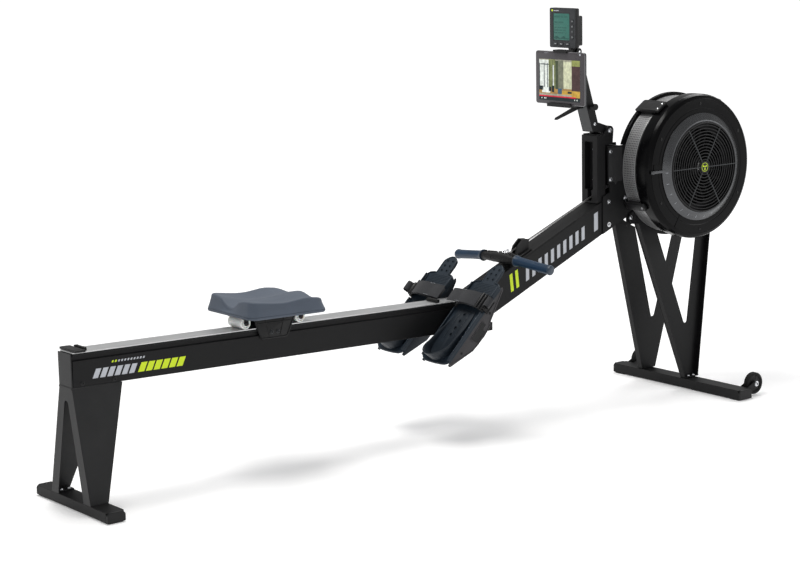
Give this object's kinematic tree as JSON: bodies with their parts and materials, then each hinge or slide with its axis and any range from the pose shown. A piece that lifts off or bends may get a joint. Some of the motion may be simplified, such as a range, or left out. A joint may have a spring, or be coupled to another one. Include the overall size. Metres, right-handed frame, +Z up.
{
  "type": "rowing machine",
  "caption": "Flywheel rowing machine: sliding seat on a monorail, chain handle, foot boards with straps, finned fan in a round housing, and a monitor arm with a tablet cradle.",
  "frame": {"origin": "centre of the whole machine's bounding box, on the floor; the rail's centre plane is at y = +0.0645 m because the flywheel housing and the front foot bar reach further to the right", "axes": "+X along the rail from the seat end to the flywheel, the way a rower faces; +Y to the rower's left; +Z up"},
  "size_m": [2.4282, 0.574, 1.241],
  "materials": {
    "frame_black": "satin black powder coat",
    "track": "brushed steel",
    "plastic_black": "satin black plastic",
    "housing": "semi-gloss black",
    "band_grey": "grey perforated sheet",
    "damper_grey": "satin dark grey",
    "rubber": "matt",
    "slate_foam": "matt slate blue moulded foam",
    "slate_plastic": "dark slate blue plastic",
    "grip_blue": "satin blue grip",
    "webbing": "charcoal webbing",
    "bright_steel": "bright zinc",
    "chain_steel": "nickel plated chain",
    "aluminium": "cast aluminium",
    "roller_white": "white nylon",
    "lcd": "teal grey liquid crystal",
    "button_grey": "grey key",
    "tablet_glass": "dark glass front"
  },
  "bodies": {
    "frame": {"boom": "frame_black", "mast": "frame_black", "flywheel_bracket": "frame_black", "front_leg_left": "frame_black", "front_leg_right": "frame_black", "front_foot_bar": "frame_black", "rear_leg": "frame_black", "rear_foot_bar": "frame_black", "foot_end_caps": "plastic_black", "rubber_feet": "rubber", "monorail": "frame_black", "seat_track": "track", "rail_end_cap": "plastic_black", "seat_stops": "rubber", "foot_support": "frame_black", "footboard_left": "slate_plastic", "footboard_right": "slate_plastic", "foot_straps": "webbing", "strap_buckles": "plastic_black", "housing_shell_left": "housing", "housing_shell_right": "housing", "perforated_band": "band_grey", "fan_grille": "plastic_black", "housing_clips": "plastic_black", "axle": "chain_steel", "chain": "chain_steel", "return_cord": "rubber", "chain_guide": "plastic_black", "handle_hook": "plastic_black", "frame_bolts": "bright_steel"},
    "seat": {"seat_pad": "slate_foam", "seat_carriage": "plastic_black", "seat_axles": "bright_steel"},
    "roller_rear": {"top_roller_rear": "roller_white"},
    "roller_front": {"top_roller_front": "roller_white"},
    "low_rollers_rear": {"lower_rollers_rear": "roller_white"},
    "low_rollers_front": {"lower_rollers_front": "roller_white"},
    "handle": {"handle_core": "plastic_black", "handle_grips": "grip_blue"},
    "sprocket": {"sprocket": "chain_steel"},
    "flywheel": {"flywheel_fan": "aluminium"},
    "damper": {"damper_ring": "damper_grey"},
    "arm": {"monitor_arm": "frame_black"},
    "monitor": {"monitor_case": "plastic_black", "monitor_screen": "lcd"},
    "cradle": {"device_cradle": "plastic_black", "tablet": "tablet_glass"},
    "clip": {"device_clip": "plastic_black"},
    "wheel_left": {"wheel_left": "rubber"},
    "wheel_right": {"wheel_right": "rubber"},
    "heel_left": {"heel_rest_left": "slate_plastic"},
    "heel_right": {"heel_rest_right": "slate_plastic"},
    "latch": {"frame_latch": "frame_black"},
    "bottom_button_1": {"bottom_button_1": "button_grey"},
    "bottom_button_2": {"bottom_button_2": "button_grey"},
    "bottom_button_3": {"bottom_button_3": "button_grey"},
    "side_button_1": {"side_button_1": "button_grey"},
    "side_button_2": {"side_button_2": "button_grey"},
    "side_button_3": {"side_button_3": "button_grey"},
    "side_button_4": {"side_button_4": "button_grey"}
  },
  "joints": [
    {"name": "seat_slide", "type": "slide", "parent": "frame", "child": "seat", "axis": [0.9997, 0, -0.0245], "range_m": [-0.47, 0.48]},
    {"name": "roller_rear_spin", "type": "hinge", "parent": "seat", "child": "roller_rear", "pos_m": [-0.66425, 0.0645, 0.4308], "axis": [0, 1, 0], "continuous": true},
    {"name": "roller_front_spin", "type": "hinge", "parent": "seat", "child": "roller_front", "pos_m": [-0.4803, 0.0645, 0.4263], "axis": [0, 1, 0], "continuous": true},
    {"name": "low_rear_spin", "type": "hinge", "parent": "seat", "child": "low_rollers_rear", "pos_m": [-0.58206, 0.0645, 0.39668], "axis": [0, 1, 0], "continuous": true},
    {"name": "low_front_spin", "type": "hinge", "parent": "seat", "child": "low_rollers_front", "pos_m": [-0.56007, 0.0645, 0.39614], "axis": [0, 1, 0], "continuous": true},
    {"name": "handle_pull", "type": "slide", "parent": "frame", "child": "handle", "axis": [-0.969, 0, 0.247], "range_m": [0, 1.2], "deforming": ["chain", "return_cord"]},
    {"name": "sprocket_spin", "type": "hinge", "parent": "frame", "child": "sprocket", "pos_m": [0.9845, 0.0645, 0.729], "axis": [0, 1, 0], "continuous": true},
    {"name": "flywheel_spin", "type": "hinge", "parent": "frame", "child": "flywheel", "pos_m": [0.9845, 0.0645, 0.729], "axis": [0, 1, 0], "continuous": true},
    {"name": "damper_turn", "type": "hinge", "parent": "frame", "child": "damper", "pos_m": [0.9845, 0.0645, 0.729], "axis": [0, 1, 0], "range_deg": [0, 60]},
    {"name": "arm_fold", "type": "hinge", "parent": "frame", "child": "arm", "pos_m": [0.7195, 0.0645, 0.855], "axis": [0, 1, 0], "range_deg": [0, 60]},
    {"name": "monitor_tilt", "type": "hinge", "parent": "arm", "child": "monitor", "pos_m": [0.6035, 0.0645, 1.106], "axis": [0, 1, 0], "range_deg": [-5, 20]},
    {"name": "device_tilt", "type": "hinge", "parent": "arm", "child": "cradle", "pos_m": [0.5899, 0.0645, 0.97928], "axis": [0, 1, 0], "range_deg": [-10, 5]},
    {"name": "clip_lift", "type": "slide", "parent": "cradle", "child": "clip", "axis": [0, 0, 1], "range_m": [0, 0.005], "stiffness_N_per_m": 150},
    {"name": "wheel_left_spin", "type": "hinge", "parent": "frame", "child": "wheel_left", "pos_m": [1.0725, 0.2545, 0.04], "axis": [0, 1, 0], "continuous": true},
    {"name": "wheel_right_spin", "type": "hinge", "parent": "frame", "child": "wheel_right", "pos_m": [1.0725, -0.2545, 0.04], "axis": [0, 1, 0], "continuous": true},
    {"name": "heel_left_slide", "type": "slide", "parent": "frame", "child": "heel_left", "axis": [0.7157, 0, 0.6984], "range_m": [0, 0.06]},
    {"name": "heel_right_slide", "type": "slide", "parent": "frame", "child": "heel_right", "axis": [0.7157, 0, 0.6984], "range_m": [0, 0.06]},
    {"name": "latch_swing", "type": "hinge", "parent": "frame", "child": "latch", "pos_m": [0.1635, 0.0645, 0.297], "axis": [0, 1, 0], "range_deg": [-50, 0]},
    {"name": "bottom_button_1_press", "type": "slide", "parent": "monitor", "child": "bottom_button_1", "axis": [1, 0, 0], "range_m": [0, 0.001], "stiffness_N_per_m": 400},
    {"name": "bottom_button_2_press", "type": "slide", "parent": "monitor", "child": "bottom_button_2", "axis": [1, 0, 0], "range_m": [0, 0.001], "stiffness_N_per_m": 400},
    {"name": "bottom_button_3_press", "type": "slide", "parent": "monitor", "child": "bottom_button_3", "axis": [1, 0, 0], "range_m": [0, 0.001], "stiffness_N_per_m": 400},
    {"name": "side_button_1_press", "type": "slide", "parent": "monitor", "child": "side_button_1", "axis": [1, 0, 0], "range_m": [0, 0.001], "stiffness_N_per_m": 400},
    {"name": "side_button_2_press", "type": "slide", "parent": "monitor", "child": "side_button_2", "axis": [1, 0, 0], "range_m": [0, 0.001], "stiffness_N_per_m": 400},
    {"name": "side_button_3_press", "type": "slide", "parent": "monitor", "child": "side_button_3", "axis": [1, 0, 0], "range_m": [0, 0.001], "stiffness_N_per_m": 400},
    {"name": "side_button_4_press", "type": "slide", "parent": "monitor", "child": "side_button_4", "axis": [1, 0, 0], "range_m": [0, 0.001], "stiffness_N_per_m": 400}
  ],
  "couplings": [
    {"joint": "roller_rear_spin", "follows": "seat_slide", "rad_per_m": 60.606},
    {"joint": "roller_front_spin", "follows": "seat_slide", "rad_per_m": 60.606},
    {"joint": "low_rear_spin", "follows": "seat_slide", "rad_per_m": -166.67},
    {"joint": "low_front_spin", "follows": "seat_slide", "rad_per_m": -166.67},
    {"joint": "sprocket_spin", "follows": "handle_pull", "rad_per_m": -70.087}
  ]
}
